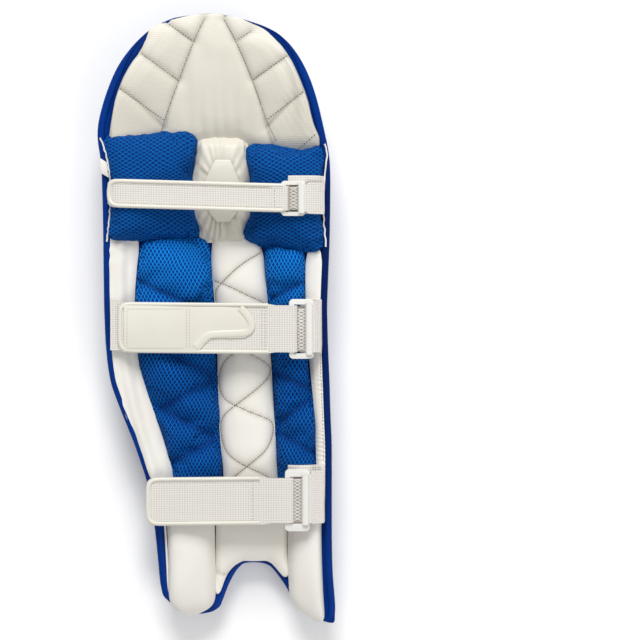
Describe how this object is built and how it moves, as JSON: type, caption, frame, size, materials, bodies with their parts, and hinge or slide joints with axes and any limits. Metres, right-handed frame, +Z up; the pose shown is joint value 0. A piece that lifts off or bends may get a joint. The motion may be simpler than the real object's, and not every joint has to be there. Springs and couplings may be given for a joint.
{
  "type": "cricket batting pad",
  "caption": "Cricket batting pad with a ribbed blue front, quilted white lining, blue mesh bolsters and fastened straps with moulded loops, lying on its front.",
  "frame": {"origin": "on the floor under the middle of the pad's box", "axes": "+Y from the feet to the thigh, +Z up from the front face to the straps, +X across to the straight edge"},
  "size_m": [0.2794, 0.719, 0.0899],
  "materials": {
    "blue_leather": "soft satin synthetic leather, royal blue",
    "blue_mesh": "matt air mesh, royal blue",
    "white_leather": "soft satin synthetic leather, warm white",
    "white_webbing": "matt ribbed webbing, warm white",
    "white_plastic": "smooth moulded plastic, white"
  },
  "bodies": {
    "root": {"facing_shell": "blue_leather", "shin_roll_1": "blue_leather", "shin_roll_2": "blue_leather", "shin_roll_3": "blue_leather", "shin_roll_4": "blue_leather", "shin_roll_5": "blue_leather", "shin_roll_6": "blue_leather", "shin_roll_7": "blue_leather", "knee_roll_upper": "blue_leather", "knee_roll_middle": "blue_leather", "knee_roll_lower": "blue_leather", "thigh_flute_1": "blue_leather", "thigh_flute_2": "blue_leather", "thigh_flute_3": "blue_leather", "thigh_flute_4": "blue_leather", "thigh_side_left": "blue_leather", "thigh_side_right": "blue_leather", "wing_front": "blue_leather", "edge_strip": "blue_leather", "instep_panel": "blue_leather", "knee_bolster_left": "blue_mesh", "knee_bolster_right": "blue_mesh", "shin_bolster_left": "blue_mesh", "shin_bolster_right": "blue_mesh", "front_label": "white_leather", "thigh_lining": "white_leather", "knee_pad": "white_leather", "knee_patch": "white_leather", "shin_pad": "white_leather", "side_lining_left": "white_leather", "side_lining_right": "white_leather", "foot_bolster_left": "white_leather", "foot_bolster_right": "white_leather", "instep_lining": "white_leather", "strap_patch": "white_leather", "edge_tab": "white_leather", "strap_top": "white_webbing", "strap_middle": "white_webbing", "strap_bottom": "white_webbing", "ring_tab_top": "white_webbing", "ring_tab_middle": "white_webbing", "ring_tab_bottom": "white_webbing", "ring_top": "white_plastic", "ring_middle": "white_plastic", "ring_bottom": "white_plastic"}
  },
  "joints": []
}
